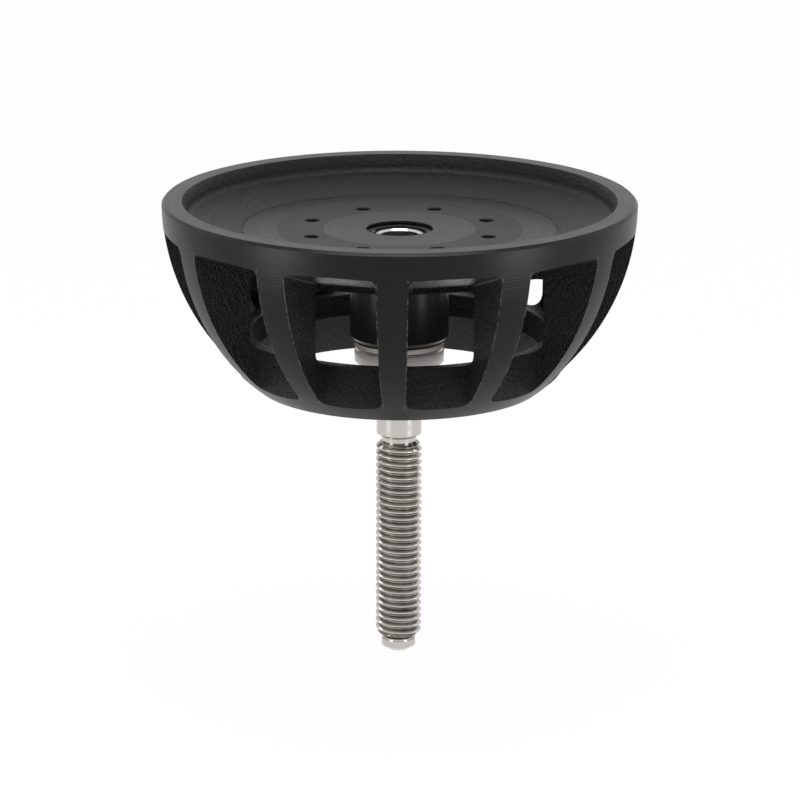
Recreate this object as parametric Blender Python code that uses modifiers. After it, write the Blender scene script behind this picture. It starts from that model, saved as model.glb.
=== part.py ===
"""Half ball adapter for a 100 mm camera bowl.

A black casting, turned outside to a half ball, carries a fluid head on its dished floor.
A steel bush is held in its hub, and a steel stud screws up into the bush to tie the ball down.

Frame: metres, +Z up, origin at the ball's centre, which lies in the plane of the rim.
Bearings are degrees round Z from the front (-Y), and grow towards +X.
"""

from math import asin, cos, pi, radians, sin, sqrt, tan

import bmesh
import bpy
from mathutils import Matrix, Vector

OBJECT_NAME = "half_ball_adapter"

# Clearance kept between pieces that touch or screw together
SEAT_GAP = 0.0003

# The ball, its rim and the dish inside it
BALL_RADIUS = 0.0500
RIM_WIDTH = 0.0036
RIM_CHAMFER = 0.0006
DISH_WALL_DRAFT = 0.0010
DISH_WALL_DEPTH = 0.0019
DISH_FILLET_WIDTH = 0.0015
DISH_FILLET_HEIGHT = 0.0019
DISH_BORDER = 0.0128
DISH_SLOPE = 12.0
FLOOR_DEPTH = 0.0063
FLOOR_STEP = 0.0003
FLOOR_THICKNESS = 0.0059

# The open ring that closes the ball at the bottom
RING_FOOT_RADIUS = 0.03027
RING_LAND = 0.0004
RING_HEIGHT = 0.0119
RING_TURNED_HEIGHT = 0.0075
RING_WALL_STEP = 0.0006
RING_WALL_DRAFT = 0.0006
RING_EDGE_ROUND = 0.0008
RING_THICKNESS = 0.00413

# Windows and the ribs between them
WINDOW_COUNT = 12
RIB_BEARING = -1.7
RIB_ANGLE = 7.6
RIB_FOOT_FILLET = 0.0030
RIB_SETBACK = 0.0025
WINDOW_TOP_DEPTH = 0.0055
WINDOW_ROOF_SLOPE = 19.6
WINDOW_TOP_ROUND = 0.0016
WINDOW_SIDE_ROUND = 0.0015

# The hub under the floor
HUB_WALL = 0.00415
HUB_LENGTH = 0.0180
HUB_CHAMFER = 0.0010
HUB_FILLET = 0.0020

# Tapped holes in the floor
SCREW_HOLE_COUNT = 8
SCREW_HOLE_CIRCLE = 0.0400
SCREW_HOLE_RADIUS = 0.00145
SCREW_HOLE_BEARING = 23.1

# The stud's thread, which the bush takes too
THREAD_PITCH = 0.0015
THREAD_CREST_RADIUS = 0.00490
THREAD_CREST_SHARE = 0.16
THREAD_ROOT_SHARE = 0.19
THREAD_FLANK_ANGLE = 60.0
THREAD_LENGTH = 0.0441
THREAD_START_BEARING = 152.4
TAPPED_BORE_BITE = 0.00065

# The threaded bush in the hub
BUSH_WALL = 0.00175
BUSH_NOSE_WALL = 0.0007
BUSH_NOSE_HEIGHT = 0.0010
BUSH_SHOULDER_WIDTH = 0.00074
BUSH_SHOULDER_HEIGHT = 0.0026
BUSH_BORE_CHAMFER = 0.0004

# The retaining ring over the bush's shoulder
CLIP_COVER = 0.0005
CLIP_THICKNESS = 0.0010
CLIP_BAND = 0.0015
CLIP_GRIP = 0.0002
CLIP_GAP_ANGLE = 34.0
CLIP_EAR_ANGLE = 22.0
CLIP_EAR_HOLE_RADIUS = 0.00045
CLIP_BEARING = -68.0

# The washer under the hub
WASHER_THICKNESS = 0.0010
WASHER_WIDTH = 0.0042
WASHER_PLAY = 0.0004

# The rest of the stud
STUD_ENGAGED_LENGTH = 0.0120
STUD_FLANGE_RADIUS = 0.0095
STUD_FLANGE_HEIGHT = 0.0042
STUD_FLANGE_CHAMFER = 0.0012
STUD_EDGE_BREAK = 0.0003
STUD_SHANK_UNDERSIZE = 0.00008
STUD_SHANK_LENGTH = 0.0148
STUD_SHANK_CHAMFER = 0.0008
RELIEF_UNDERCUT = 0.00033
RELIEF_LENGTH = 0.0008
DOG_UNDERSIZE = 0.0004
DOG_NECK_STEP = 0.00035
DOG_NECK_LENGTH = 0.00035
DOG_LENGTH = 0.00245
DOG_CHAMFER = 0.0015
DOG_CHAMFER_HEIGHT = 0.0010

# Facets, and lengths that only the modelling needs
BALL_FACETS = 72
BALL_ARC_FACETS = 10
HUB_FACETS = 36
SCREW_HOLE_FACETS = 14
EAR_HOLE_FACETS = 8
STEEL_FACETS = 36
THREAD_FACETS = 20
FILLET_FACETS = 3
DISH_FILLET_FACETS = 2
SHARP_EDGE = 35.0
MERGE_DISTANCE = 0.000005
CUT_OVERRUN = 0.0050

# Radii and depths of the casting that follow from the sizes above, depths below the rim
inner_rim = BALL_RADIUS - RIM_CHAMFER - RIM_WIDTH
floor_radius = inner_rim - DISH_BORDER
floor_underside = FLOOR_DEPTH + FLOOR_THICKNESS
ball_foot_depth = sqrt(BALL_RADIUS**2 - RING_FOOT_RADIUS**2)
ring_bore_radius = RING_FOOT_RADIUS - RING_LAND
ring_top_depth = ball_foot_depth - RING_HEIGHT
pocket_wall = ring_bore_radius + RING_THICKNESS
cavity_radius = pocket_wall + RIB_SETBACK
hub_end = floor_underside + HUB_LENGTH

# The thread, the bush and its retaining ring
thread_share = (1.0 - THREAD_CREST_SHARE - THREAD_ROOT_SHARE) / 2
thread_depth = THREAD_PITCH * thread_share / tan(radians(THREAD_FLANK_ANGLE / 2))
thread_root_radius = THREAD_CREST_RADIUS - thread_depth
bush_bore_radius = THREAD_CREST_RADIUS - TAPPED_BORE_BITE
bush_radius = bush_bore_radius + BUSH_WALL
shoulder_radius = bush_radius + BUSH_SHOULDER_WIDTH
nose_radius = bush_bore_radius + BUSH_NOSE_WALL
shoulder_bore = shoulder_radius + SEAT_GAP
bush_bore_in_hub = bush_radius + SEAT_GAP
hub_radius = bush_bore_in_hub + HUB_WALL
clip_radius = shoulder_bore + CLIP_GRIP
clip_groove_radius = clip_radius + SEAT_GAP
clip_top = FLOOR_DEPTH + CLIP_COVER + SEAT_GAP
clip_bottom = clip_top + CLIP_THICKNESS
shoulder_top = clip_bottom + SEAT_GAP
shoulder_bottom = shoulder_top + BUSH_SHOULDER_HEIGHT
nose_top = shoulder_top - BUSH_NOSE_HEIGHT
bush_end = hub_end - SEAT_GAP

# The washer and the stud
washer_bore_radius = THREAD_CREST_RADIUS + WASHER_PLAY
washer_radius = washer_bore_radius + WASHER_WIDTH
washer_top = hub_end + SEAT_GAP
washer_bottom = washer_top + WASHER_THICKNESS
flange_top = washer_bottom + SEAT_GAP
flange_bottom = flange_top + STUD_FLANGE_HEIGHT
stud_top = bush_end - STUD_ENGAGED_LENGTH
stud_top_radius = bush_bore_radius - SEAT_GAP
shank_radius = THREAD_CREST_RADIUS - STUD_SHANK_UNDERSIZE
shank_end = flange_bottom + STUD_SHANK_LENGTH
relief_radius = thread_root_radius - RELIEF_UNDERCUT
thread_start = shank_end + STUD_SHANK_CHAMFER + RELIEF_LENGTH
thread_end = thread_start + THREAD_LENGTH
dog_radius = thread_root_radius - DOG_UNDERSIZE
dog_neck_radius = dog_radius - DOG_NECK_STEP
dog_top = thread_end + DOG_NECK_LENGTH
stud_end = dog_top + DOG_LENGTH


def clear_scene():
    """Remove what a new file holds."""
    for obj in list(bpy.data.objects):
        bpy.data.objects.remove(obj, do_unlink=True)


def new_collection(name):
    collection = bpy.data.collections.new(name)
    bpy.context.scene.collection.children.link(collection)
    return collection


def new_material(name, colour, roughness, metallic):
    material = bpy.data.materials.new(name)
    material.use_nodes = True
    shader = material.node_tree.nodes["Principled BSDF"]
    shader.inputs["Base Color"].default_value = (*colour, 1.0)
    shader.inputs["Roughness"].default_value = roughness
    shader.inputs["Metallic"].default_value = metallic
    material.diffuse_color = (*colour, 1.0)
    return material


def around(bearing):
    """Unit vector that points outwards at a bearing in degrees."""
    angle = radians(bearing)
    return Vector((sin(angle), -cos(angle), 0.0))


def arc(centre, width, height, start, end, facets):
    """Points of an arc in a turned profile, from one angle to another in degrees from +X."""
    points = []
    for step in range(facets + 1):
        angle = radians(start + (end - start) * step / facets)
        points.append((centre[0] + width * cos(angle), centre[1] + height * sin(angle)))
    return points


def degrees_down(depth):
    """Angle below the rim of a point of the ball at a depth."""
    return asin(depth / BALL_RADIUS) * 180.0 / pi


def place(mesh, name, collection, material=None):
    obj = bpy.data.objects.new(name, mesh)
    collection.objects.link(obj)
    if material:
        mesh.materials.append(material)
    return obj


def turned(name, profile, facets, collection, material=None, closed=False):
    """Turn a profile of (radius, height) points about Z with a Screw modifier."""
    mesh = bpy.data.meshes.new(name)
    edges = [(i, i + 1) for i in range(len(profile) - 1)]
    if closed:
        edges.append((len(profile) - 1, 0))
    mesh.from_pydata([(r, 0.0, z) for r, z in profile], edges, [])
    obj = place(mesh, name, collection, material)
    screw = obj.modifiers.new("turn", "SCREW")
    screw.axis = "Z"
    screw.steps = facets
    screw.render_steps = facets
    screw.use_merge_vertices = True
    screw.merge_threshold = MERGE_DISTANCE
    screw.use_smooth_shade = True
    return obj


def hide_cutter(obj):
    obj.hide_render = True
    obj.display_type = "WIRE"


def boolean(obj, operation, other):
    modifier = obj.modifiers.new(operation.lower(), "BOOLEAN")
    modifier.operation = operation
    modifier.solver = "EXACT"
    if isinstance(other, bpy.types.Collection):
        modifier.operand_type = "COLLECTION"
        modifier.collection = other
    else:
        modifier.object = other


def casting_profile():
    """Half section of the casting, from the middle of its floor round to the middle of its hub's end."""
    wall_foot = inner_rim - DISH_WALL_DRAFT
    slope_top = wall_foot - DISH_FILLET_WIDTH
    slope_top_depth = DISH_WALL_DEPTH + DISH_FILLET_HEIGHT
    slope_fall = (slope_top - floor_radius) * tan(radians(DISH_SLOPE))
    slope_foot_depth = min(slope_top_depth + slope_fall, FLOOR_DEPTH - FLOOR_STEP)
    dish_fillet = arc(
        (slope_top, -DISH_WALL_DEPTH),
        DISH_FILLET_WIDTH,
        DISH_FILLET_HEIGHT,
        -90.0,
        0.0,
        DISH_FILLET_FACETS,
    )
    profile = [
        (0.0, -FLOOR_DEPTH),
        (floor_radius, -FLOOR_DEPTH),
        (floor_radius + FLOOR_STEP, -slope_foot_depth),
        *dish_fillet,
        (inner_rim, 0.0),
        (BALL_RADIUS - RIM_CHAMFER, 0.0),
    ]
    first = -degrees_down(RIM_CHAMFER)
    last = -degrees_down(ball_foot_depth)
    profile += arc((0.0, 0.0), BALL_RADIUS, BALL_RADIUS, first, last, BALL_ARC_FACETS)

    ring_turned_top = RING_TURNED_HEIGHT - ball_foot_depth
    ring_wall = ring_bore_radius + RING_WALL_STEP
    edge_middle = ring_wall + RING_WALL_DRAFT + RING_EDGE_ROUND
    profile += [
        (ring_bore_radius, -ball_foot_depth),
        (ring_bore_radius, ring_turned_top),
        (ring_wall, ring_turned_top + RING_WALL_STEP),
    ]
    edge_centre = (edge_middle, -ring_top_depth - RING_EDGE_ROUND)
    profile += arc(edge_centre, RING_EDGE_ROUND, RING_EDGE_ROUND, 180.0, 90.0, FILLET_FACETS)

    # The fillet is no larger than the ring's top and the height above it leave room for
    room = min(cavity_radius - edge_middle, ring_top_depth - floor_underside) - SEAT_GAP
    foot_fillet = min(RIB_FOOT_FILLET, room)
    foot_centre = (cavity_radius - foot_fillet, foot_fillet - ring_top_depth)
    profile += arc(foot_centre, foot_fillet, foot_fillet, -90.0, 0.0, FILLET_FACETS)
    profile.append((cavity_radius, -floor_underside))

    hub_root = (hub_radius + HUB_FILLET, -floor_underside - HUB_FILLET)
    profile += arc(hub_root, HUB_FILLET, HUB_FILLET, 90.0, 180.0, FILLET_FACETS)
    profile += [
        (hub_radius, HUB_CHAMFER - hub_end),
        (hub_radius - HUB_CHAMFER, -hub_end),
        (0.0, -hub_end),
    ]
    return profile


def window_cutter(name, bearing, collection):
    """Wedge between two ribs: radial sides, a flat inner wall, a sloped roof and rounded corners."""
    half_angle = radians(180.0 / WINDOW_COUNT - RIB_ANGLE / 2)
    outer = BALL_RADIUS + CUT_OVERRUN
    lowest = -ball_foot_depth - CUT_OVERRUN
    roof_edge = sqrt(BALL_RADIUS**2 - WINDOW_TOP_DEPTH**2)
    roof_slope = tan(radians(WINDOW_ROOF_SLOPE))

    mesh = bpy.data.meshes.new(name)
    shape = bmesh.new()
    bmesh.ops.create_cube(shape, size=2.0)
    for vertex in shape.verts:
        side, outwards, upwards = vertex.co
        distance = outer if outwards > 0 else pocket_wall
        roof = -WINDOW_TOP_DEPTH - (roof_edge - distance) * roof_slope
        vertex.co = (side * distance * tan(half_angle), distance, roof if upwards > 0 else lowest)

    def is_inner_upright(edge):
        at_wall = all(abs(v.co.y - pocket_wall) < MERGE_DISTANCE for v in edge.verts)
        return at_wall and abs(edge.verts[0].co.z - edge.verts[1].co.z) > MERGE_DISTANCE

    def is_roof_side(edge):
        in_roof = all(v.co.z > lowest + MERGE_DISTANCE for v in edge.verts)
        ends_outside = sum(v.co.y > outer - MERGE_DISTANCE for v in edge.verts)
        return in_roof and ends_outside == 1

    for chosen, rounding in ((is_inner_upright, WINDOW_SIDE_ROUND), (is_roof_side, WINDOW_TOP_ROUND)):
        bmesh.ops.bevel(
            shape,
            geom=[edge for edge in shape.edges if chosen(edge)],
            offset=rounding,
            segments=FILLET_FACETS,
            profile=0.5,
            affect="EDGES",
        )
    shape.transform(Matrix.Rotation(radians(bearing) - pi, 4, "Z"))
    shape.to_mesh(mesh)
    shape.free()
    hide_cutter(place(mesh, name, collection))


def screw_hole_cutter(name, bearing, collection):
    mesh = bpy.data.meshes.new(name)
    shape = bmesh.new()
    bmesh.ops.create_cone(
        shape,
        cap_ends=True,
        segments=SCREW_HOLE_FACETS,
        radius1=SCREW_HOLE_RADIUS,
        radius2=SCREW_HOLE_RADIUS,
        depth=FLOOR_THICKNESS + 2 * CUT_OVERRUN,
    )
    shape.to_mesh(mesh)
    shape.free()
    hole = place(mesh, name, collection)
    hole.location = around(bearing) * (SCREW_HOLE_CIRCLE / 2)
    hole.location.z = -FLOOR_DEPTH - FLOOR_THICKNESS / 2
    hide_cutter(hole)


def hub_bore_cutter(collection):
    """Stepped bore for the bush, with the groove of its retaining ring."""
    profile = [
        (0.0, CUT_OVERRUN - FLOOR_DEPTH),
        (shoulder_bore, CUT_OVERRUN - FLOOR_DEPTH),
        (shoulder_bore, SEAT_GAP - clip_top),
        (clip_groove_radius, SEAT_GAP - clip_top),
        (clip_groove_radius, -shoulder_top),
        (shoulder_bore, -shoulder_top),
        (shoulder_bore, -shoulder_bottom - SEAT_GAP),
        (bush_bore_in_hub, -shoulder_bottom - SEAT_GAP),
        (bush_bore_in_hub, -hub_end - CUT_OVERRUN),
        (0.0, -hub_end - CUT_OVERRUN),
    ]
    hide_cutter(turned("hub_bore", profile, HUB_FACETS, collection))


def build_casting(parts, cutters, material):
    casting = turned("half_ball_casting", casting_profile(), BALL_FACETS, parts, material)
    window_angle = 360.0 / WINDOW_COUNT
    facet_angle = 360.0 / BALL_FACETS
    first_window = RIB_BEARING + window_angle / 2
    # The facets straddle the middle of a window, so that no facet edge runs along a rib
    casting.rotation_euler.z = radians(first_window + facet_angle / 2) - pi / 2

    casting_cutters = bpy.data.collections.new("casting_cutters")
    cutters.children.link(casting_cutters)
    for i in range(WINDOW_COUNT):
        window_cutter(f"window_{i + 1:02d}", first_window + i * window_angle, casting_cutters)
    for i in range(SCREW_HOLE_COUNT):
        bearing = SCREW_HOLE_BEARING + i * 360.0 / SCREW_HOLE_COUNT
        screw_hole_cutter(f"screw_hole_{i + 1}", bearing, casting_cutters)
    hub_bore_cutter(casting_cutters)
    boolean(casting, "DIFFERENCE", casting_cutters)


def build_bush(parts, material):
    """Shouldered bush: its nose stands up inside the retaining ring, its body fills the hub."""
    mouth = bush_bore_radius + BUSH_BORE_CHAMFER
    profile = [
        (mouth, -nose_top),
        (nose_radius, -nose_top),
        (nose_radius, -shoulder_top),
        (shoulder_radius, -shoulder_top),
        (shoulder_radius, -shoulder_bottom),
        (bush_radius, -shoulder_bottom),
        (bush_radius, -bush_end),
        (mouth, -bush_end),
        (bush_bore_radius, BUSH_BORE_CHAMFER - bush_end),
        (bush_bore_radius, -BUSH_BORE_CHAMFER - nose_top),
    ]
    turned("threaded_bush", profile, HUB_FACETS, parts, material, closed=True)


def retaining_ring_loops():
    """Outline of the retaining ring and of its two ear holes, as lists of points."""
    inner = clip_radius - CLIP_BAND
    ear_inner = nose_radius + SEAT_GAP
    gap = CLIP_GAP_ANGLE / 2
    ear = gap + CLIP_EAR_ANGLE
    outline = []
    for start, end, radius, steps in (
        (gap, 360.0 - gap, clip_radius, HUB_FACETS),
        (360.0 - gap, 360.0 - ear, ear_inner, FILLET_FACETS),
        (360.0 - ear, ear, inner, HUB_FACETS),
        (ear, gap, ear_inner, FILLET_FACETS),
    ):
        for step in range(steps + 1):
            angle = start + (end - start) * step / steps
            outline.append(around(CLIP_BEARING + angle) * radius)
    loops = [outline]
    ear_middle = (gap + ear) / 2
    for angle in (ear_middle, -ear_middle):
        centre = around(CLIP_BEARING + angle) * (ear_inner + clip_radius) / 2
        hole = []
        for step in range(EAR_HOLE_FACETS):
            hole.append(centre + around(360.0 * step / EAR_HOLE_FACETS) * CLIP_EAR_HOLE_RADIUS)
        loops.append(hole)
    return loops


def build_retaining_ring(parts, material):
    """Internal retaining ring: an open flat band with an eared end on each side of its gap."""
    curve = bpy.data.curves.new("retaining_ring", "CURVE")
    curve.dimensions = "2D"
    curve.fill_mode = "BOTH"
    curve.extrude = CLIP_THICKNESS / 2
    for loop in retaining_ring_loops():
        spline = curve.splines.new("POLY")
        spline.points.add(len(loop) - 1)
        spline.use_cyclic_u = True
        for point, corner in zip(spline.points, loop):
            point.co = (corner.x, corner.y, 0.0, 1.0)
    flat = bpy.data.objects.new("retaining_ring_outline", curve)
    parts.objects.link(flat)
    flat.location.z = -(clip_top + clip_bottom) / 2
    bpy.context.view_layer.update()
    evaluated = flat.evaluated_get(bpy.context.evaluated_depsgraph_get())
    mesh = bpy.data.meshes.new_from_object(evaluated)
    ring = place(mesh, "retaining_ring", parts, material)
    ring.matrix_world = flat.matrix_world
    bpy.data.objects.remove(flat)
    shape = bmesh.new()
    shape.from_mesh(mesh)
    bmesh.ops.remove_doubles(shape, verts=shape.verts, dist=MERGE_DISTANCE)
    bmesh.ops.recalc_face_normals(shape, faces=shape.faces)
    shape.to_mesh(mesh)
    shape.free()


def build_washer(parts, material):
    profile = [
        (washer_bore_radius, -washer_top),
        (washer_radius, -washer_top),
        (washer_radius, -washer_bottom),
        (washer_bore_radius, -washer_bottom),
    ]
    turned("lock_washer", profile, STEEL_FACETS, parts, material, closed=True)


def thread_rod(cutters):
    """Threaded rod, longer than the stud's thread at both ends, with closed ends."""
    crest = THREAD_CREST_SHARE * THREAD_PITCH / 2
    flank = thread_share * THREAD_PITCH
    spare_turns = 2
    turns = int(THREAD_LENGTH / THREAD_PITCH) + 2 * spare_turns
    top = spare_turns * THREAD_PITCH - thread_start
    middle = top - THREAD_PITCH / 2
    outline = [
        (thread_root_radius, top),
        (thread_root_radius, middle + crest + flank),
        (THREAD_CREST_RADIUS, middle + crest),
        (THREAD_CREST_RADIUS, middle - crest),
        (thread_root_radius, middle - crest - flank),
        (thread_root_radius, top - THREAD_PITCH),
    ]
    shape = bmesh.new()
    corners = [shape.verts.new((radius, 0.0, height)) for radius, height in outline]
    edges = [shape.edges.new(pair) for pair in zip(corners, corners[1:])]
    # A right-hand thread falls as it runs clockwise, seen from above
    bmesh.ops.spin(
        shape,
        geom=corners + edges,
        cent=(0.0, 0.0, 0.0),
        axis=(0.0, 0.0, 1.0),
        dvec=(0.0, 0.0, -THREAD_PITCH / THREAD_FACETS),
        angle=-2 * pi * turns,
        steps=THREAD_FACETS * turns,
    )
    bmesh.ops.remove_doubles(shape, verts=shape.verts, dist=MERGE_DISTANCE)
    half_way = top - THREAD_PITCH * (turns + 1) / 2
    open_edges = [edge for edge in shape.edges if edge.is_boundary]
    for is_upper in (True, False):
        rim = [edge for edge in open_edges if (edge.verts[0].co.z > half_way) == is_upper]
        cap = bmesh.ops.extrude_edge_only(shape, edges=rim)["geom"]
        tip = [item for item in cap if isinstance(item, bmesh.types.BMVert)]
        height = middle if is_upper else middle - THREAD_PITCH * turns
        bmesh.ops.pointmerge(shape, verts=tip, merge_co=(0.0, 0.0, height))
    bmesh.ops.recalc_face_normals(shape, faces=shape.faces)
    shape.transform(Matrix.Rotation(radians(THREAD_START_BEARING) - pi / 2, 4, "Z"))
    mesh = bpy.data.meshes.new("thread_rod")
    shape.to_mesh(mesh)
    shape.free()
    rod = place(mesh, "thread_rod", cutters)
    hide_cutter(rod)
    return rod


def build_stud(parts, cutters, material):
    """Turned stud: its plain blank, joined with a thread that is trimmed by a chamfered sleeve."""
    sleeve_radius = THREAD_CREST_RADIUS + STUD_EDGE_BREAK
    sleeve_profile = [
        (0.0, -thread_start),
        (relief_radius, -thread_start),
        (sleeve_radius, relief_radius - sleeve_radius - thread_start),
        (sleeve_radius, sleeve_radius - dog_neck_radius - thread_end),
        (dog_neck_radius, -thread_end),
        (0.0, -thread_end),
    ]
    sleeve = turned("thread_sleeve", sleeve_profile, STEEL_FACETS, cutters)
    hide_cutter(sleeve)
    rod = thread_rod(cutters)
    boolean(rod, "INTERSECT", sleeve)

    # Inside the thread the blank is a core, thinner than the thread's own faces
    core_radius = dog_neck_radius - STUD_EDGE_BREAK / 2
    core_top = thread_start + STUD_EDGE_BREAK
    profile = [
        (0.0, -stud_top),
        (stud_top_radius - STUD_SHANK_CHAMFER, -stud_top),
        (stud_top_radius, -stud_top - STUD_SHANK_CHAMFER),
        (stud_top_radius, -flange_top),
        (STUD_FLANGE_RADIUS - STUD_EDGE_BREAK, -flange_top),
        (STUD_FLANGE_RADIUS, -flange_top - STUD_EDGE_BREAK),
        (STUD_FLANGE_RADIUS, STUD_FLANGE_CHAMFER - flange_bottom),
        (STUD_FLANGE_RADIUS - STUD_FLANGE_CHAMFER, -flange_bottom),
        (shank_radius, -flange_bottom),
        (shank_radius, -shank_end),
        (relief_radius, -shank_end - STUD_SHANK_CHAMFER),
        (relief_radius, STUD_EDGE_BREAK / 2 - core_top),
        (core_radius, -core_top),
        (core_radius, -dog_top),
        (dog_radius, -dog_top),
        (dog_radius, DOG_CHAMFER_HEIGHT - stud_end),
        (dog_radius - DOG_CHAMFER, -stud_end),
        (0.0, -stud_end),
    ]
    stud = turned("tie_down_stud", profile, STEEL_FACETS, parts, material)
    boolean(stud, "UNION", rod)


def finish_parts(parts):
    """Make each part a plain mesh, round faces smooth and corners sharp."""
    bpy.context.view_layer.update()
    depsgraph = bpy.context.evaluated_depsgraph_get()
    meshes = {}
    for obj in parts.objects:
        meshes[obj] = bpy.data.meshes.new_from_object(obj.evaluated_get(depsgraph))
    for obj, mesh in meshes.items():
        obj.modifiers.clear()
        obj.data = mesh
        mesh.shade_smooth()
        mesh.set_sharp_from_angle(angle=radians(SHARP_EDGE))


def main():
    clear_scene()
    parts = new_collection(OBJECT_NAME)
    cutters = new_collection("cutters")
    black = new_material("black_casting", (0.022, 0.022, 0.024), 0.42, 0.4)
    steel = new_material("turned_steel", (0.58, 0.55, 0.52), 0.24, 1.0)
    dark_spring = new_material("spring_steel", (0.05, 0.05, 0.05), 0.35, 0.9)

    build_casting(parts, cutters, black)
    build_bush(parts, steel)
    build_retaining_ring(parts, dark_spring)
    build_washer(parts, steel)
    build_stud(parts, cutters, steel)
    finish_parts(parts)


main()
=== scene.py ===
"""Looks of the half ball adapter: a black cast half ball for a camera bowl, with its steel tie-down stud.

Metres, +Z up, the ball's centre at the origin, in the plane of its rim. The photographed front faces -Y.
"""

from math import asin, cos, degrees, pi, radians, sin, sqrt, tan

import bmesh
import bpy
from mathutils import Matrix, Vector


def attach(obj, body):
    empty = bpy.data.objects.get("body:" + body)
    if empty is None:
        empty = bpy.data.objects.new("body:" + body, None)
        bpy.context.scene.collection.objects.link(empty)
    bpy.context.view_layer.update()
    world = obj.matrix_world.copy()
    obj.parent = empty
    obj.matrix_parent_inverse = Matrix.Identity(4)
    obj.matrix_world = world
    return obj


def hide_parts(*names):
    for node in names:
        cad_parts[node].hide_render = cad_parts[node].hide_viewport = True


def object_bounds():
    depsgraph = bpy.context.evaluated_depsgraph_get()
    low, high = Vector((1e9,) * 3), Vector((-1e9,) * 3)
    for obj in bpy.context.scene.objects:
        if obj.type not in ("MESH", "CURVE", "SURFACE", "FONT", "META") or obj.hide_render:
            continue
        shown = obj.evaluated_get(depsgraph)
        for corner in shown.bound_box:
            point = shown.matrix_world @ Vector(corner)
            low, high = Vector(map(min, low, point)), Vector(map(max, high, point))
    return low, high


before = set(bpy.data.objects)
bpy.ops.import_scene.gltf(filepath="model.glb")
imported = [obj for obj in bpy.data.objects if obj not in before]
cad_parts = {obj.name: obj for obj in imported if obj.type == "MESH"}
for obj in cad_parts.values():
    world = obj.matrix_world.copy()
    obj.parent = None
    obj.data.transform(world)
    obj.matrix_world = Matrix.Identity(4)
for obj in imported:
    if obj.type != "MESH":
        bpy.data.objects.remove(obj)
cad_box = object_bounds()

# The camera: a long lens that looks down on the rim from the front.
# Its place and lens come from the ellipses of the rim, the floor and the screw holes.
camera_data = bpy.data.cameras.new("camera")
camera_data.sensor_width = 36.0
camera_data.lens = 181.9
camera = bpy.data.objects.new("camera", camera_data)
camera.location = (0.000186, -0.82965, 0.18492)
camera_turn = Matrix.Rotation(radians(74.589), 3, "X") @ Matrix.Rotation(radians(0.18), 3, "Z")
camera.rotation_euler = camera_turn.to_euler()
bpy.context.scene.collection.objects.link(camera)
bpy.context.scene.camera = camera
bpy.context.scene.view_settings.view_transform = "Standard"


# The half ball: one light-alloy casting with its dish, ribs, lower ring and hub.
# Its outside, rim, floor and the ring's foot are turned; the rest is left as cast.
# It is painted a thin satin black, through which the sand grain and the turning lines still show.
BALL_RADIUS = 0.0500
RIM_WIDTH = 0.0036
RIM_CHAMFER = 0.0006
DISH_WALL_DRAFT = 0.0010
DISH_WALL_DEPTH = 0.0019
DISH_FILLET = (0.0015, 0.0019)
DISH_BORDER = 0.0128
DISH_SLOPE = 12.0
FLOOR_DEPTH = 0.0063
FLOOR_STEP = 0.0003
FLOOR_THICKNESS = 0.0059
RING_FOOT_RADIUS = 0.03027
RING_LAND = 0.0004
RING_HEIGHT = 0.0119
RING_TURNED_HEIGHT = 0.0075
RING_WALL_STEP = 0.0006
RING_WALL_DRAFT = 0.0006
RING_EDGE_ROUND = 0.0008
RING_THICKNESS = 0.00413
WINDOW_COUNT = 12
RIB_BEARING = -1.7
RIB_ANGLE = 7.6
RIB_FOOT_FILLET = 0.0030
RIB_SETBACK = 0.0025
WINDOW_TOP_DEPTH = 0.0055
WINDOW_ROOF_SLOPE = 19.6
WINDOW_TOP_ROUND = 0.0016
WINDOW_SIDE_ROUND = 0.0015
HUB_RADIUS = 0.01045
HUB_LENGTH = 0.0180
HUB_CHAMFER = 0.0010
HUB_FILLET = 0.0020
HUB_BORE_RADIUS = 0.0063
HUB_MOUTH_RADIUS = 0.00704
HUB_SHOULDER_DEPTH = 0.0113
HUB_GROOVE = (0.00754, 0.0068, 0.0084)
SCREW_HOLE_COUNT = 8
SCREW_HOLE_CIRCLE = 0.0400
SCREW_HOLE_RADIUS = 0.00145
SCREW_HOLE_COUNTERSINK = 0.00022
SCREW_HOLE_BEARING = 23.1
SCREW_HOLE_FACETS = 28
BALL_FACETS = 144
BALL_ARC_STEP = 1.25
BORE_FACETS = 96
ROUND_STEPS = 6
SHARP_EDGE = 32.0
MERGE_DISTANCE = 0.000002
INDEX_ROUNDING = 0.0005
OVERCUT = 0.0050
FILLET_ROOM = 0.0003
BLACK_PAINT = (0.0070, 0.0068, 0.0074)
CAST_PAINT = (0.0095, 0.0092, 0.0095)
# Paler paint: worn paint with a painted highlight on the ribs' edges, and painted light on the ring's bore.
WORN_AND_LIT_PAINT = (0.0700, 0.0680, 0.0660)
PAINT_ROUGHNESS = 0.34
PAINT_SPECULAR = 0.15
PAINT_TINT = (1.0, 0.97, 0.98, 1.0)
PAINT_RELIEF = 0.0008
MASK_MARGIN = 0.00006
ROOF_MASK_MARGIN = 0.0003
BORE_MASK_START = 0.8
CAST_COARSENESS = 1.8
DISH_SMOOTHING = 1.4
HUB_SMOOTHING = 1.77
BORE_SMOOTHING = 1.3
ROOF_SMOOTHING = 1.6
LINE_SPACING = 0.00030
BROAD_LINE_SPACING = 0.0011
LINE_RELIEF = 0.036
SPECK_RELIEF = 0.01
TOOL_RINGS = (0.016, 0.026)
# The ribs' paler edge band and the shares of paler paint: wear with a painted highlight on the edges, painted
# light on the bore.
WORN_AND_LIT_BAND = (0.28, 0.1)
EDGE_WEAR_AND_HIGHLIGHT = 0.7
BORE_PAINTED_LIGHT = 0.25

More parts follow.
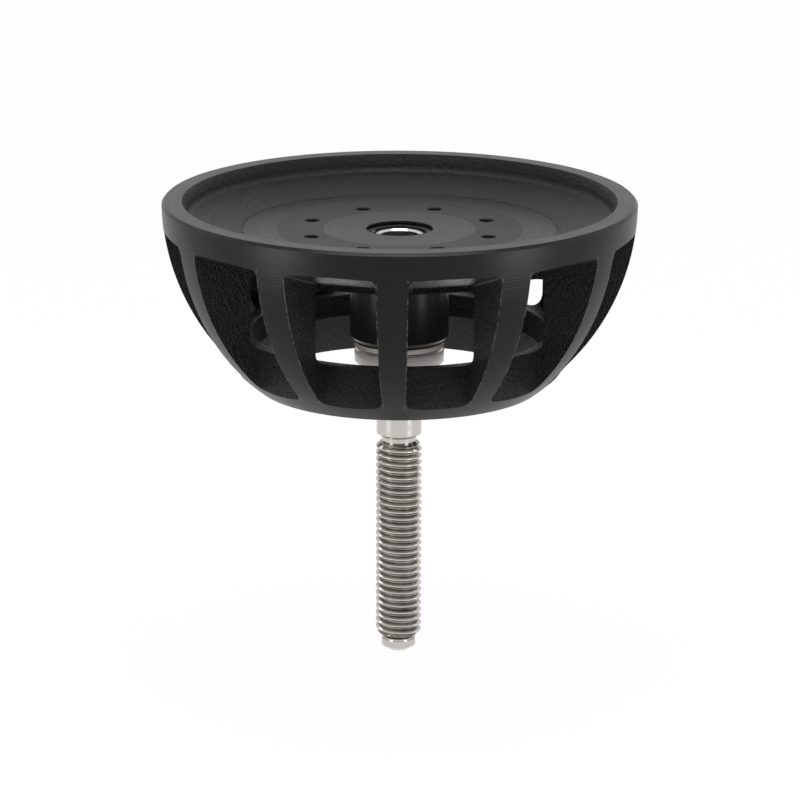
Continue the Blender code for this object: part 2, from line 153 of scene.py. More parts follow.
inner_rim = BALL_RADIUS - RIM_CHAMFER - RIM_WIDTH
floor_radius = inner_rim - DISH_BORDER
floor_underside = FLOOR_DEPTH + FLOOR_THICKNESS
ball_foot = sqrt(BALL_RADIUS**2 - RING_FOOT_RADIUS**2)
ring_bore = RING_FOOT_RADIUS - RING_LAND
ring_top = ball_foot - RING_HEIGHT
pocket_wall = ring_bore + RING_THICKNESS
cavity_radius = pocket_wall + RIB_SETBACK
hub_end = floor_underside + HUB_LENGTH
window_angle = 360.0 / WINDOW_COUNT
first_window = RIB_BEARING + window_angle / 2
roof_edge = sqrt(BALL_RADIUS**2 - WINDOW_TOP_DEPTH**2)


class Wire:
    """Output of a node. An operator on it adds a Math node, so a sum of wires reads as a sum."""

    def __init__(self, tree, socket):
        self.tree = tree
        self.socket = socket

    def math(self, operation, first, second=0.0):
        return self.tree.node("ShaderNodeMath", {"operation": operation}, {0: first, 1: second})["Value"]

    def __add__(self, other):
        return self.math("ADD", self, other)

    def __radd__(self, other):
        return self.math("ADD", other, self)

    def __sub__(self, other):
        return self.math("SUBTRACT", self, other)

    def __rsub__(self, other):
        return self.math("SUBTRACT", other, self)

    def __mul__(self, other):
        return self.math("MULTIPLY", self, other)

    def __rmul__(self, other):
        return self.math("MULTIPLY", other, self)

    def __truediv__(self, other):
        return self.math("DIVIDE", self, other)

    def __mod__(self, other):
        return self.math("MODULO", self, other)

    def __gt__(self, other):
        return self.math("GREATER_THAN", self, other)

    def __lt__(self, other):
        return self.math("LESS_THAN", self, other)

    def floor(self):
        return self.math("FLOOR", self)

    def sine(self):
        return self.math("SINE", self)

    def cosine(self):
        return self.math("COSINE", self)

    def root(self):
        return self.math("SQRT", self)

    def least(self, other):
        return self.math("MINIMUM", self, other)

    def most(self, other):
        return self.math("MAXIMUM", self, other)


class Tree:
    """A material's or a modifier's node tree."""

    def __init__(self, nodes):
        self.nodes = nodes

    def node(self, kind, settings, inputs):
        """Add a node, set it up, fill or link its inputs, and give its outputs by name."""
        node = self.nodes.nodes.new(kind)
        for name, value in settings.items():
            setattr(node, name, value)
        for key, value in inputs.items():
            if isinstance(key, int):
                socket = node.inputs[key]
            else:
                socket = next(s for s in node.inputs if s.name == key and s.enabled)
            if isinstance(value, Wire):
                self.nodes.links.new(value.socket, socket)
            else:
                socket.default_value = value
        return {output.name: Wire(self, output) for output in node.outputs if output.enabled}

    def mix(self, factor, first, second):
        """Blend two colours."""
        settings = {"data_type": "RGBA"}
        return self.node("ShaderNodeMix", settings, {"Factor": factor, "A": first, "B": second})["Result"]


class Finish(Tree):
    """A material with one Principled shader, drawn on the object's own coordinates."""

    def __init__(self, name):
        self.material = bpy.data.materials.new(name)
        self.material.use_nodes = True
        super().__init__(self.material.node_tree)
        self.shader = self.nodes.nodes["Principled BSDF"]
        self.place = self.node("ShaderNodeTexCoord", {}, {})["Object"]
        apart = self.node("ShaderNodeSeparateXYZ", {}, {"Vector": self.place})
        self.x, self.y, self.z = apart["X"], apart["Y"], apart["Z"]
        self.from_axis = (self.x * self.x + self.y * self.y).root()

    def noise(self, scale, detail=2.0, stretch=(1.0, 1.0, 1.0), roughness=0.5):
        """Noise of a number of grains per metre, about 0.5 in the middle."""
        spread = self.node("ShaderNodeMapping", {}, {"Vector": self.place, "Scale": stretch})["Vector"]
        inputs = {"Vector": spread, "Scale": scale, "Detail": detail, "Roughness": roughness}
        return self.node("ShaderNodeTexNoise", {}, inputs)["Fac"]

    def lines(self, along, spacing, detail):
        """Turning lines: noise that changes along one measure only."""
        inputs = {"W": along / spacing, "Scale": 1.0, "Detail": detail}
        return self.node("ShaderNodeTexNoise", {"noise_dimensions": "1D"}, inputs)["Fac"]

    def bump(self, height, distance):
        """Relief of a height from 0 to 1 that stands for a distance in metres."""
        inputs = {"Strength": 1.0, "Distance": distance, "Height": height}
        return self.node("ShaderNodeBump", {}, inputs)["Normal"]

    def set(self, **values):
        """Set or link sockets of the shader, with their names' spaces written as underscores."""
        for name, value in values.items():
            socket = self.shader.inputs[name.replace("_", " ")]
            if isinstance(value, Wire):
                self.nodes.links.new(value.socket, socket)
            else:
                socket.default_value = value


def arc(centre, width, height, start, end, steps=ROUND_STEPS):
    """Points of an arc in a turned profile, from one angle to another in degrees from +X."""
    points = []
    for step in range(steps + 1):
        angle = radians(start + (end - start) * step / steps)
        points.append((centre[0] + width * cos(angle), centre[1] + height * sin(angle)))
    return points


def geometry_tree(name, sizes):
    """New Geometry Nodes tree with its named inputs, given as a dictionary of socket types."""
    group = bpy.data.node_groups.new(name, "GeometryNodeTree")
    group.interface.new_socket("Geometry", in_out="INPUT", socket_type="NodeSocketGeometry")
    for size, kind in sizes.items():
        group.interface.new_socket(size, in_out="INPUT", socket_type=kind)
    group.interface.new_socket("Geometry", in_out="OUTPUT", socket_type="NodeSocketGeometry")
    tree = Tree(group)
    return tree, tree.node("NodeGroupInput", {}, {})


def end_tree(tree, geometry, material):
    """Realize the instances, set the material and hand the result out."""
    real = tree.node("GeometryNodeRealizeInstances", {}, {"Geometry": geometry})["Geometry"]
    inputs = {"Geometry": real, "Material": material}
    done = tree.node("GeometryNodeSetMaterial", {}, inputs)["Geometry"]
    tree.node("NodeGroupOutput", {}, {"Geometry": done})


def turning_tree():
    """Turn a profile of points, given in the XZ plane, about the Z axis.

    With a lead the profile also climbs as it turns, as a thread does. Its radius is then kept inside
    a cone at each end of the thread, and its height between the two ends.
    """
    tree, given = geometry_tree("turning", {
        "Facets": "NodeSocketInt",
        "Turns": "NodeSocketInt",
        "Lead": "NodeSocketFloat",
        "Start Angle": "NodeSocketFloat",
        "Top": "NodeSocketFloat",
        "Top Radius": "NodeSocketFloat",
        "Bottom": "NodeSocketFloat",
        "Bottom Radius": "NodeSocketFloat",
        "Merge Distance": "NodeSocketFloat",
        "Material": "NodeSocketMaterial",
    })
    profile = given["Geometry"]
    count = tree.node("GeometryNodeAttributeDomainSize", {}, {"Geometry": profile})["Point Count"]
    columns = given["Facets"] * given["Turns"] + 1
    sheet = tree.node("GeometryNodeMeshGrid", {}, {"Vertices X": columns, "Vertices Y": count})["Mesh"]
    index = tree.node("GeometryNodeInputIndex", {}, {})["Index"]
    row = index % count
    column = (index / count + INDEX_ROUNDING).floor()
    place = tree.node("GeometryNodeInputPosition", {}, {})["Position"]
    sampled = {"Geometry": profile, "Value": place, "Index": row}
    point = tree.node("GeometryNodeSampleIndex", {"data_type": "FLOAT_VECTOR"}, sampled)["Value"]
    apart = tree.node("ShaderNodeSeparateXYZ", {}, {"Vector": point})
    turned = column / given["Facets"]
    height = (apart["Z"] + turned * given["Lead"]).least(given["Top"]).most(given["Bottom"])
    upper_cone = given["Top Radius"] + (given["Top"] - height)
    lower_cone = given["Bottom Radius"] + (height - given["Bottom"])
    radius = apart["X"].least(upper_cone).least(lower_cone)
    angle = given["Start Angle"] + turned * (2 * pi)
    spot = {"X": radius * angle.cosine(), "Y": radius * angle.sine(), "Z": height}
    moved = {"Geometry": sheet, "Position": tree.node("ShaderNodeCombineXYZ", {}, spot)["Vector"]}
    shape = tree.node("GeometryNodeSetPosition", {}, moved)["Geometry"]
    merge = {"Geometry": shape, "Distance": given["Merge Distance"]}
    end_tree(tree, tree.node("GeometryNodeMergeByDistance", {}, merge)["Geometry"], given["Material"])
    return tree.nodes


def ring_tree():
    """Repeat a shape round the Z axis."""
    tree, given = geometry_tree("ring_of_shapes", {
        "Count": "NodeSocketInt",
        "First Angle": "NodeSocketFloat",
        "Material": "NodeSocketMaterial",
    })
    points = tree.node("GeometryNodePoints", {}, {"Count": given["Count"], "Position": (0, 0, 0)})["Points"]
    index = tree.node("GeometryNodeInputIndex", {}, {})["Index"]
    turn = given["First Angle"] + index * (2 * pi) / given["Count"]
    rotation = tree.node("ShaderNodeCombineXYZ", {}, {"Z": turn})["Vector"]
    placed = {"Points": points, "Instance": given["Geometry"], "Rotation": rotation}
    ring = tree.node("GeometryNodeInstanceOnPoints", {}, placed)["Instances"]
    end_tree(tree, ring, given["Material"])
    return tree.nodes


turning = turning_tree()
ring_of_shapes = ring_tree()


def run_tree(name, mesh, group, sizes):
    """Put a mesh through a tree, and give the plain mesh object that comes out, facing outwards."""
    source = bpy.data.objects.new(name, mesh)
    bpy.context.scene.collection.objects.link(source)
    modifier = source.modifiers.new("nodes", "NODES")
    modifier.node_group = group
    for size, value in sizes.items():
        modifier[group.interface.items_tree[size].identifier] = value
    evaluated = source.evaluated_get(bpy.context.evaluated_depsgraph_get())
    result = bpy.data.meshes.new_from_object(evaluated)
    source.modifiers.clear()
    source.data = result
    shape = bmesh.new()
    shape.from_mesh(result)
    bmesh.ops.recalc_face_normals(shape, faces=shape.faces)
    shape.to_mesh(result)
    shape.free()
    return source


def turn(name, profile, facets, material=None, first_angle=0.0, lead=0.0, turns=1, top=(1.0, 1.0),
         bottom=(-1.0, 1.0)):
    """Turned piece from a profile of (radius, height) points; a closed profile ends where it starts."""
    mesh = bpy.data.meshes.new(name)
    steps = [(i, i + 1) for i in range(len(profile) - 1)]
    mesh.from_pydata([(radius, 0.0, height) for radius, height in profile], steps, [])
    return run_tree(name, mesh, turning, {
        "Facets": facets,
        "Turns": turns,
        "Lead": lead,
        "Start Angle": first_angle,
        "Top": top[0],
        "Top Radius": top[1],
        "Bottom": bottom[0],
        "Bottom Radius": bottom[1],
        "Merge Distance": MERGE_DISTANCE,
        "Material": material,
    })


def cut(piece, cutters):
    """Cut shapes out of a piece, and clear the cutters away."""
    for cutter in cutters:
        boolean = piece.modifiers.new("cut", "BOOLEAN")
        boolean.operation = "DIFFERENCE"
        boolean.solver = "EXACT"
        boolean.object = cutter
    bpy.context.view_layer.update()
    evaluated = piece.evaluated_get(bpy.context.evaluated_depsgraph_get())
    mesh = bpy.data.meshes.new_from_object(evaluated)
    piece.modifiers.clear()
    piece.data = mesh
    for cutter in cutters:
        bpy.data.objects.remove(cutter)


def smooth(piece):
    """Shade a piece smooth, apart from its real edges."""
    piece.data.shade_smooth()
    piece.data.set_sharp_from_angle(angle=radians(SHARP_EDGE))


def casting_profile():
    """Half section of the casting, from the middle of its floor round to the middle of its hub's end."""
    wall_foot = inner_rim - DISH_WALL_DRAFT
    slope_top = wall_foot - DISH_FILLET[0]
    slope_fall = (slope_top - floor_radius) * tan(radians(DISH_SLOPE))
    slope_foot = min(DISH_WALL_DEPTH + DISH_FILLET[1] + slope_fall, FLOOR_DEPTH - FLOOR_STEP)
    ball_start = degrees(asin(RIM_CHAMFER / BALL_RADIUS))
    ball_end = degrees(asin(ball_foot / BALL_RADIUS))
    ball_steps = round((ball_end - ball_start) / BALL_ARC_STEP)
    ring_turned_top = RING_TURNED_HEIGHT - ball_foot
    ring_wall = ring_bore + RING_WALL_STEP
    edge_middle = ring_wall + RING_WALL_DRAFT + RING_EDGE_ROUND
    fillet_room = min(cavity_radius - edge_middle, ring_top - floor_underside) - FILLET_ROOM
    foot_fillet = min(RIB_FOOT_FILLET, fillet_room)
    return [
        (0.0, -FLOOR_DEPTH),
        (floor_radius, -FLOOR_DEPTH),
        (floor_radius + FLOOR_STEP, -slope_foot),
        *arc((slope_top, -DISH_WALL_DEPTH), *DISH_FILLET, -90.0, 0.0),
        (inner_rim, 0.0),
        (BALL_RADIUS - RIM_CHAMFER, 0.0),
        *arc((0.0, 0.0), BALL_RADIUS, BALL_RADIUS, -ball_start, -ball_end, ball_steps),
        (ring_bore, -ball_foot),
        (ring_bore, ring_turned_top),
        (ring_wall, ring_turned_top + RING_WALL_STEP),
        *arc((edge_middle, -ring_top - RING_EDGE_ROUND), RING_EDGE_ROUND, RING_EDGE_ROUND, 180.0, 90.0),
        *arc((cavity_radius - foot_fillet, foot_fillet - ring_top), foot_fillet, foot_fillet, -90.0, 0.0),
        (cavity_radius, -floor_underside),
        *arc((HUB_RADIUS + HUB_FILLET, -floor_underside - HUB_FILLET), HUB_FILLET, HUB_FILLET, 90.0, 180.0),
        (HUB_RADIUS, HUB_CHAMFER - hub_end),
        (HUB_RADIUS - HUB_CHAMFER, -hub_end),
        (0.0, -hub_end),
    ]


def window_shape():
    """Space between two ribs: radial sides, a flat inner wall, a sloped roof and rounded corners."""
    half_angle = radians(window_angle / 2 - RIB_ANGLE / 2)
    outer = BALL_RADIUS + OVERCUT
    lowest = -ball_foot - OVERCUT
    shape = bmesh.new()
    bmesh.ops.create_cube(shape, size=2.0)
    for vertex in shape.verts:
        side, outwards, upwards = vertex.co
        distance = outer if outwards > 0 else pocket_wall
        roof = -WINDOW_TOP_DEPTH - (roof_edge - distance) * tan(radians(WINDOW_ROOF_SLOPE))
        vertex.co = (side * distance * tan(half_angle), distance, roof if upwards > 0 else lowest)

    def inner_upright(edge):
        at_wall = all(abs(v.co.y - pocket_wall) < MERGE_DISTANCE for v in edge.verts)
        return at_wall and abs(edge.verts[0].co.z - edge.verts[1].co.z) > MERGE_DISTANCE

    def roof_side(edge):
        in_roof = all(v.co.z > lowest + MERGE_DISTANCE for v in edge.verts)
        return in_roof and sum(v.co.y > outer - MERGE_DISTANCE for v in edge.verts) == 1

    for chosen, rounding in ((inner_upright, WINDOW_SIDE_ROUND), (roof_side, WINDOW_TOP_ROUND)):
        edges = [edge for edge in shape.edges if chosen(edge)]
        bmesh.ops.bevel(shape, geom=edges, offset=rounding, segments=ROUND_STEPS, profile=0.5, affect="EDGES")
    mesh = bpy.data.meshes.new("window_space")
    shape.to_mesh(mesh)
    shape.free()
    return mesh


def screw_hole_shape():
    """Tapped hole with a small countersink, at the hole circle's radius along +X."""
    mouth = SCREW_HOLE_RADIUS + SCREW_HOLE_COUNTERSINK
    profile = [
        (0.0, OVERCUT - FLOOR_DEPTH),
        (mouth + OVERCUT, OVERCUT - FLOOR_DEPTH),
        (SCREW_HOLE_RADIUS, -FLOOR_DEPTH - SCREW_HOLE_COUNTERSINK),
        (SCREW_HOLE_RADIUS, -floor_underside - OVERCUT),
        (0.0, -floor_underside - OVERCUT),
    ]
    hole = turn("screw_hole", profile, SCREW_HOLE_FACETS)
    mesh = hole.data
    bpy.data.objects.remove(hole)
    mesh.transform(Matrix.Translation((SCREW_HOLE_CIRCLE / 2, 0.0, 0.0)))
    return mesh


def casting_finish():
    """Thin satin black paint: smooth with turning lines where it was turned, grainy where it was cast."""
    paint = Finish("black_casting")
    z, out = paint.z, paint.from_axis
    from_centre = (z * z + out * out).root()
    near = MASK_MARGIN

    # Masks by height and distance from the axis: the turned faces, then parts of the cast ones.
    on_ball = from_centre > BALL_RADIUS - near
    on_rim = (z > -near).most((out > BALL_RADIUS - RIM_CHAMFER - near) * (z > -RIM_CHAMFER - near))
    on_floor = (out < floor_radius + near) * (z > -FLOOR_DEPTH - near)
    on_foot = z < near - ball_foot
    in_dish = (z > -FLOOR_DEPTH) * (out < inner_rim + near)
    on_hub = (out < HUB_RADIUS + near) * (z < -floor_underside)
    in_ring_bore = (out < ring_bore + RING_WALL_STEP) * (z < near - ring_top)
    in_ring_bore = in_ring_bore * (out > floor_radius * BORE_MASK_START)
    turned = on_ball.most(on_rim).most(on_floor).most(on_foot)
    cast = 1.0 - turned

    # The angle from the nearest rib's middle, and from it the windows' roofs and the ribs' edges.
    bearing = paint.node("ShaderNodeMath", {"operation": "ARCTAN2"}, {0: paint.x, 1: 0.0 - paint.y})["Value"]
    from_rib = bearing * (180.0 / pi) - RIB_BEARING + (360.0 + window_angle / 2)
    from_rib = from_rib % window_angle - window_angle / 2
    from_rib = from_rib.most(0.0 - from_rib)
    along_window = out * ((window_angle / 2 - from_rib) * (pi / 180.0)).cosine()
    roof_height = (along_window - roof_edge) * tan(radians(WINDOW_ROOF_SLOPE)) - WINDOW_TOP_DEPTH
    in_window = cast * (1.0 - in_dish) * (along_window > pocket_wall) * (z < -WINDOW_TOP_DEPTH)
    on_roof = in_window * (z > roof_height - ROOF_MASK_MARGIN)
    above_ring_wall = z > -sqrt(BALL_RADIUS**2 - pocket_wall**2)
    at_rib_edge = (from_rib > RIB_ANGLE / 2 - WORN_AND_LIT_BAND[0]) * (from_rib < RIB_ANGLE / 2 + WORN_AND_LIT_BAND[1])
    on_edge = on_ball * (z < -WINDOW_TOP_DEPTH) * above_ring_wall * at_rib_edge
    # Patches of paler paint along the ribs' edges: worn paint, and a painted highlight where a rounded edge
    # would catch the light.
    worn_and_lit_edge = on_edge * (paint.noise(900.0, 2.0) > 0.5)

    # Turning lines, sand grain and tone, and paler paint at the ribs' edges and in the ring's bore, which is
    # partly painted light.
    across_lines = z * on_ball + out * (1.0 - on_ball)
    lines = paint.lines(across_lines, LINE_SPACING, 3.0)
    broad_lines = paint.lines(across_lines, BROAD_LINE_SPACING, 1.0)
    grain = paint.noise(2000.0, 3.0, (1.0, 1.0, 0.6), 0.65)
    pits = paint.noise(560.0, 2.0)
    flecks = paint.noise(4200.0, 1.0) - 0.5
    specks = paint.noise(2600.0, 1.0) > 0.76
    tone = paint.noise(90.0, 3.0)
    tool_rings = on_floor * ((out > TOOL_RINGS[0]) - (out > TOOL_RINGS[1]))
    coarse = CAST_COARSENESS - in_dish * DISH_SMOOTHING - on_hub * HUB_SMOOTHING
    coarse = coarse - in_ring_bore * BORE_SMOOTHING - on_roof * ROOF_SMOOTHING
    relief = cast * coarse * (grain * 0.9 + pits * 0.3 - 0.6)
    relief = relief + turned * ((lines - 0.5) * LINE_RELIEF + specks * SPECK_RELIEF)
    colour = paint.mix(cast, (*BLACK_PAINT, 1.0), (*CAST_PAINT, 1.0))
    # Paler paint: worn paint with a painted highlight on the ribs' edges, and painted light on the ring's
    # bore, as thrown on it from the floor.
    wear_and_painted_light = (worn_and_lit_edge * EDGE_WEAR_AND_HIGHLIGHT).most(in_ring_bore * BORE_PAINTED_LIGHT)
    colour = paint.mix(wear_and_painted_light, colour, (*WORN_AND_LIT_PAINT, 1.0))
    roughness = PAINT_ROUGHNESS - cast * 0.06 + (tone - 0.5) * 0.10
    roughness = roughness + (broad_lines - 0.5) * 0.06 * turned
    roughness = roughness + tool_rings * 0.09 + flecks * (0.2 + cast * 0.5 - on_hub * 0.6) - on_roof * 0.15
    paint.set(Base_Color=colour, Roughness=roughness, Normal=paint.bump(relief, PAINT_RELIEF))
    paint.set(Specular_IOR_Level=PAINT_SPECULAR, Specular_Tint=PAINT_TINT)
    return paint.material


black_casting = casting_finish()
half_ball = turn(
    "half_ball",
    casting_profile(),
    BALL_FACETS,
    black_casting,
    radians(first_window) - pi / 2,
)
windows = run_tree("windows", window_shape(), ring_of_shapes, {
    "Count": WINDOW_COUNT,
    "First Angle": radians(first_window) - pi,
    "Material": black_casting,
})
screw_holes = run_tree("screw_holes", screw_hole_shape(), ring_of_shapes, {
    "Count": SCREW_HOLE_COUNT,
    "First Angle": radians(SCREW_HOLE_BEARING) - pi / 2,
    "Material": black_casting,
})
hub_bore = turn("hub_bore", [
    (0.0, OVERCUT - FLOOR_DEPTH),
    (HUB_MOUTH_RADIUS, OVERCUT - FLOOR_DEPTH),
    (HUB_MOUTH_RADIUS, -HUB_GROOVE[1]),
    (HUB_GROOVE[0], -HUB_GROOVE[1]),
    (HUB_GROOVE[0], -HUB_GROOVE[2]),
    (HUB_MOUTH_RADIUS, -HUB_GROOVE[2]),
    (HUB_MOUTH_RADIUS, -HUB_SHOULDER_DEPTH),
    (HUB_BORE_RADIUS, -HUB_SHOULDER_DEPTH),
    (HUB_BORE_RADIUS, -hub_end - OVERCUT),
    (0.0, -hub_end - OVERCUT),
], BORE_FACETS, black_casting)
cut(half_ball, [windows, screw_holes, hub_bore])
smooth(half_ball)
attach(half_ball, "ball")
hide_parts("half_ball_casting")


# The bush: a shouldered steel bush in the hub, turned bright and threaded inside.
# The head's screw enters it from above and the tie-down stud from below.
BUSH_BORE_RADIUS = 0.00425
BUSH_RADIUS = 0.0060
BUSH_SHOULDER = (0.00674, 0.0084, 0.0110)
BUSH_NOSE = (0.00495, 0.0074)
BUSH_END = 0.0299
BUSH_EDGE = 0.0004
BUSH_ROUGHNESS = 0.20
STEEL = (0.54, 0.515, 0.49)
STEEL_LINE_SPACING = 0.00012
STEEL_LINE_RELIEF = 0.0000018
# Brown of the painted shade in the thread's grooves, and how deep and how strong it is.
GROOVE_SHADE_BROWN = (0.10, 0.085, 0.070)
GROOVE_SHADE_FULL_DEPTH = 0.0006
GROOVE_SHADE_SHARE = 0.7
COARSE_FROM_RADIUS = 0.0055
COARSE_ROUGHNESS = 0.16
THREAD_ROUGHNESS = 0.07


def steel_finish(name, colour, roughness, relief=STEEL_LINE_RELIEF, groove_radius=0.0, thread=(0.0, 0.0)):
    """Turned steel: fine lines round the axis, a thread whose grooves are darkened brown as painted shade,
    and a coarser flange.
    """
    steel = Finish(name)
    lines = steel.lines(steel.z + steel.from_axis, STEEL_LINE_SPACING, 3.0)
    tone = steel.noise(300.0, 3.0, (1.0, 1.0, 3.0))
    on_thread = (steel.z < -thread[0]) * (steel.z > -thread[1])
    in_groove = ((groove_radius - steel.from_axis) / GROOVE_SHADE_FULL_DEPTH).least(1.0).most(0.0)
    # Painted shade: the thread's grooves turn brown towards their roots, patchy with the tone.
    groove_shade = on_thread * in_groove * (GROOVE_SHADE_SHARE + (tone - 0.5) * 1.2)
    rough = roughness + (tone - 0.5) * 0.12 + (steel.from_axis > COARSE_FROM_RADIUS) * COARSE_ROUGHNESS
    rough = rough + on_thread * THREAD_ROUGHNESS
    steel.set(Base_Color=steel.mix(groove_shade, (*colour, 1.0), (*GROOVE_SHADE_BROWN, 1.0)), Metallic=1.0, Roughness=rough)
    steel.set(Normal=steel.bump(lines, relief))
    return steel.material


bush_steel = steel_finish("bush_steel", STEEL, BUSH_ROUGHNESS)
bush = turn("bush", [
    (BUSH_BORE_RADIUS + BUSH_EDGE, -BUSH_NOSE[1]),
    (BUSH_NOSE[0], -BUSH_NOSE[1]),
    (BUSH_NOSE[0], -BUSH_SHOULDER[1]),
    (BUSH_SHOULDER[0], -BUSH_SHOULDER[1]),
    (BUSH_SHOULDER[0], -BUSH_SHOULDER[2]),
    (BUSH_RADIUS, -BUSH_SHOULDER[2]),
    (BUSH_RADIUS, -BUSH_END),
    (BUSH_BORE_RADIUS + BUSH_EDGE, -BUSH_END),
    (BUSH_BORE_RADIUS, BUSH_EDGE - BUSH_END),
    (BUSH_BORE_RADIUS, -BUSH_EDGE - BUSH_NOSE[1]),
    (BUSH_BORE_RADIUS + BUSH_EDGE, -BUSH_NOSE[1]),
], BORE_FACETS, bush_steel)
smooth(bush)
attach(bush, "ball")
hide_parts("threaded_bush")


# The retaining ring: a flat internal ring of blackened spring steel, stamped with two eared ends.
# It is sprung into the hub's groove over the bush's shoulder.
SPRING_STEEL = (0.05, 0.048, 0.046)
SPRING_ROUGHNESS = 0.38
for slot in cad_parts["retaining_ring"].material_slots:
    slot.material = steel_finish("spring_steel", SPRING_STEEL, SPRING_ROUGHNESS)


# The washer: a thin stainless washer between the hub and the stud's flange.
# It is stamped, and lies loose round the stud.
WASHER_ROUGHNESS = 0.26
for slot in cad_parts["lock_washer"].material_slots:
    slot.material = steel_finish("washer_steel", STEEL, WASHER_ROUGHNESS)


# The stud: turned from stainless bar, with a round flange, a plain shank, a relief groove,
# a cut M10 x 1.5 thread and a dog point.
THREAD_PITCH = 0.0015
THREAD_CREST_RADIUS = 0.00490
THREAD_CREST_SHARE = 0.16
THREAD_ROOT_SHARE = 0.19
THREAD_FLANK_ANGLE = 60.0
THREAD_START = 0.0524
THREAD_END = 0.0965
THREAD_START_BEARING = 152.4
THREAD_FACETS = 72
STUD_TOP = (0.00395, 0.0179)
STUD_FLANGE = (0.0095, 0.0318, 0.0360)
STUD_FLANGE_CHAMFER = 0.0012
STUD_EDGE_BREAK = 0.0003
STUD_SHANK = (0.00482, 0.0508)
STUD_SHANK_CHAMFER = 0.0008
RELIEF_RADIUS = 0.003726
DOG_NECK_RADIUS = 0.003306
DOG_TOP = 0.09685
DOG_RADIUS = 0.003656
DOG_CHAMFER = (0.0015, 0.0010)
STUD_END = 0.0993
STUD_ROUGHNESS = 0.13
STUD_LINE_RELIEF = 0.0000005
# The painted groove shade starts this far inside the thread's crests.
GROOVE_SHADE_START_DEPTH = 0.0001

stud_steel = steel_finish(
    "stud_steel",
    STEEL,
    STUD_ROUGHNESS,
    STUD_LINE_RELIEF,
    THREAD_CREST_RADIUS - GROOVE_SHADE_START_DEPTH,
    (THREAD_START, THREAD_END),
)
thread_share = (1.0 - THREAD_CREST_SHARE - THREAD_ROOT_SHARE) / 2
thread_depth = THREAD_PITCH * thread_share / tan(radians(THREAD_FLANK_ANGLE / 2))
root_radius = THREAD_CREST_RADIUS - thread_depth
crest = THREAD_CREST_SHARE * THREAD_PITCH / 2
flank = thread_share * THREAD_PITCH
spare_turns = 2
thread_turns = int((THREAD_END - THREAD_START) / THREAD_PITCH) + 2 * spare_turns
first_crest = (spare_turns - 0.5) * THREAD_PITCH - THREAD_START
thread = turn(
    "thread",
    [
        (root_radius, first_crest + THREAD_PITCH / 2),
        (root_radius, first_crest + crest + flank),
        (root_radius + thread_depth / 2, first_crest + crest + flank / 2),
        (THREAD_CREST_RADIUS, first_crest + crest),
        (THREAD_CREST_RADIUS, first_crest - crest),
        (root_radius + thread_depth / 2, first_crest - crest - flank / 2),
        (root_radius, first_crest - crest - flank),
        (root_radius, first_crest - THREAD_PITCH / 2),
    ],
    THREAD_FACETS,
    stud_steel,
    radians(THREAD_START_BEARING) - pi / 2,
    -THREAD_PITCH,
    thread_turns,
    (-THREAD_START, RELIEF_RADIUS),
    (-THREAD_END, DOG_NECK_RADIUS),
)
stud = turn("stud", [
    (0.0, -STUD_TOP[1]),
    (STUD_TOP[0] - STUD_SHANK_CHAMFER, -STUD_TOP[1]),
    (STUD_TOP[0], -STUD_TOP[1] - STUD_SHANK_CHAMFER),
    (STUD_TOP[0], -STUD_FLANGE[1]),
    (STUD_FLANGE[0] - STUD_EDGE_BREAK, -STUD_FLANGE[1]),
    (STUD_FLANGE[0], -STUD_FLANGE[1] - STUD_EDGE_BREAK),
    (STUD_FLANGE[0], STUD_FLANGE_CHAMFER - STUD_FLANGE[2]),
    (STUD_FLANGE[0] - STUD_FLANGE_CHAMFER, -STUD_FLANGE[2]),
    (STUD_SHANK[0], -STUD_FLANGE[2]),
    (STUD_SHANK[0], -STUD_SHANK[1]),
    (RELIEF_RADIUS, -STUD_SHANK[1] - STUD_SHANK_CHAMFER),
    (RELIEF_RADIUS, -THREAD_START),
], THREAD_FACETS, stud_steel, radians(THREAD_START_BEARING) - pi / 2)
dog = turn("dog", [
    (DOG_NECK_RADIUS, -THREAD_END),
    (DOG_NECK_RADIUS, -DOG_TOP),
    (DOG_RADIUS, -DOG_TOP),
    (DOG_RADIUS, DOG_CHAMFER[1] - STUD_END),
    (DOG_RADIUS - DOG_CHAMFER[0], -STUD_END),
    (0.0, -STUD_END),
], THREAD_FACETS, stud_steel, radians(THREAD_START_BEARING) - pi / 2)


def weld(piece, others):
    """Join pieces whose open ends meet into one closed shape."""
    shape = bmesh.new()
    for part in (piece, *others):
        shape.from_mesh(part.data)
    bmesh.ops.remove_doubles(shape, verts=shape.verts, dist=MERGE_DISTANCE)
    bmesh.ops.recalc_face_normals(shape, faces=shape.faces)
    shape.to_mesh(piece.data)
    shape.free()
    for part in others:
        bpy.data.objects.remove(part)


weld(stud, [thread, dog])
smooth(stud)
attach(stud, "stud")
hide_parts("tie_down_stud")


# The studio: a pale floor under the stud and a white room, with a soft box low on each side, one high
# behind on each side, and a large one overhead. Camera, mirrored and transmitted rays see the floor and
# the room as white; the room lights the object as a plain grey.
FLOOR_DROP = 0.013
FLOOR_SIZE = 6.0
FLOOR_GREY = 0.9
FLOOR_WHITE_SHARE = 0.96
ROOM_LEVEL = 0.30
WHITE_LEVEL = 1.0
LOW_BOX_PLACE = (0.24, -0.17, -0.040)
LOW_BOX_SIZE = (0.10, 0.15)
LOW_BOX_RADIANCE = 7.5
REAR_BOX_PLACE = (0.50, 0.60, 0.78)
REAR_BOX_SIZE = (0.3, 0.3)
REAR_BOX_RADIANCE = 3.5
SIDE_BOX_TARGET = (0, 0, -0.03)
TOP_BOX_PLACE = (0.0, -0.25, 1.0)
TOP_BOX_SIZE = (0.84, 0.70)
TOP_BOX_RADIANCE = 5.5


def white_seen(rays):
    """1 for the rays that see the plain white background: the camera's, mirrored and transmitted ones."""
    return rays["Is Camera Ray"].most(rays["Is Glossy Ray"]).most(rays["Is Transmission Ray"])


def flat_light(tree, kind, level):
    """Plain grey emission or background of a level where 1 is white."""
    inputs = {"Color": (level, level, level, 1.0), "Strength": 1.0}
    return next(iter(tree.node(kind, {}, inputs).values()))


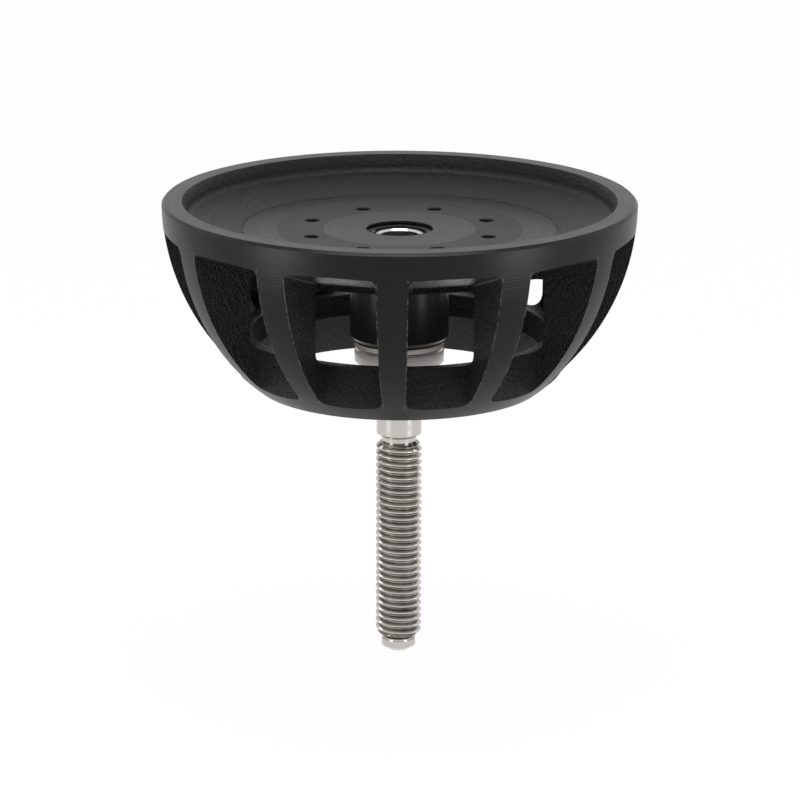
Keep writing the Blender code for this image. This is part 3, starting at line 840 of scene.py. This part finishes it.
floor_mesh = bpy.data.meshes.new("studio_floor")
half = FLOOR_SIZE / 2
floor_height = cad_box[0].z - FLOOR_DROP
corners = [(-half, -half), (half, -half), (half, half), (-half, half)]
floor_mesh.from_pydata([(x, y, floor_height) for x, y in corners], [], [(0, 1, 2, 3)])
studio_floor = bpy.data.objects.new("studio_floor", floor_mesh)
bpy.context.scene.collection.objects.link(studio_floor)
floor_material = bpy.data.materials.new("studio_floor")
floor_material.use_nodes = True
floor_mesh.materials.append(floor_material)
floor_material.node_tree.nodes.clear()
pale = Tree(floor_material.node_tree)
rays = pale.node("ShaderNodeLightPath", {}, {})
floor_colour = (FLOOR_GREY, FLOOR_GREY, FLOOR_GREY, 1.0)
matt = pale.node("ShaderNodeBsdfDiffuse", {}, {"Color": floor_colour})["BSDF"]
white = flat_light(pale, "ShaderNodeEmission", WHITE_LEVEL)
factor = white_seen(rays) * FLOOR_WHITE_SHARE
blend = pale.node("ShaderNodeMixShader", {}, {0: factor, 1: matt, 2: white})["Shader"]
pale.node("ShaderNodeOutputMaterial", {}, {"Surface": blend})

world = bpy.data.worlds.new("studio")
bpy.context.scene.world = world
world.use_nodes = True
world.node_tree.nodes.clear()
room = Tree(world.node_tree)
rays = room.node("ShaderNodeLightPath", {}, {})
lit = flat_light(room, "ShaderNodeBackground", ROOM_LEVEL)
white = flat_light(room, "ShaderNodeBackground", WHITE_LEVEL)
blend = room.node("ShaderNodeMixShader", {}, {0: white_seen(rays), 1: lit, 2: white})["Shader"]
room.node("ShaderNodeOutputWorld", {}, {"Surface": blend})


def soft_box(name, place, target, size, radiance):
    """Rectangular lamp that faces a point, of a brightness where 1 is white."""
    data = bpy.data.lights.new(name, "AREA")
    data.shape = "RECTANGLE"
    data.size, data.size_y = size
    data.energy = radiance * pi * size[0] * size[1]
    lamp = bpy.data.objects.new(name, data)
    lamp.location = place
    lamp.rotation_euler = (Vector(target) - Vector(place)).to_track_quat("-Z", "Y").to_euler()
    lamp.visible_camera = False
    bpy.context.scene.collection.objects.link(lamp)


for side, name in ((-1, "left"), (1, "right")):
    low_place = (side * LOW_BOX_PLACE[0], *LOW_BOX_PLACE[1:])
    rear_place = (side * REAR_BOX_PLACE[0], *REAR_BOX_PLACE[1:])
    soft_box(name + "_soft_box", low_place, SIDE_BOX_TARGET, LOW_BOX_SIZE, LOW_BOX_RADIANCE)
    soft_box(name + "_rear_soft_box", rear_place, SIDE_BOX_TARGET, REAR_BOX_SIZE, REAR_BOX_RADIANCE)
soft_box("top_soft_box", TOP_BOX_PLACE, (0, 0, 0), TOP_BOX_SIZE, TOP_BOX_RADIANCE)
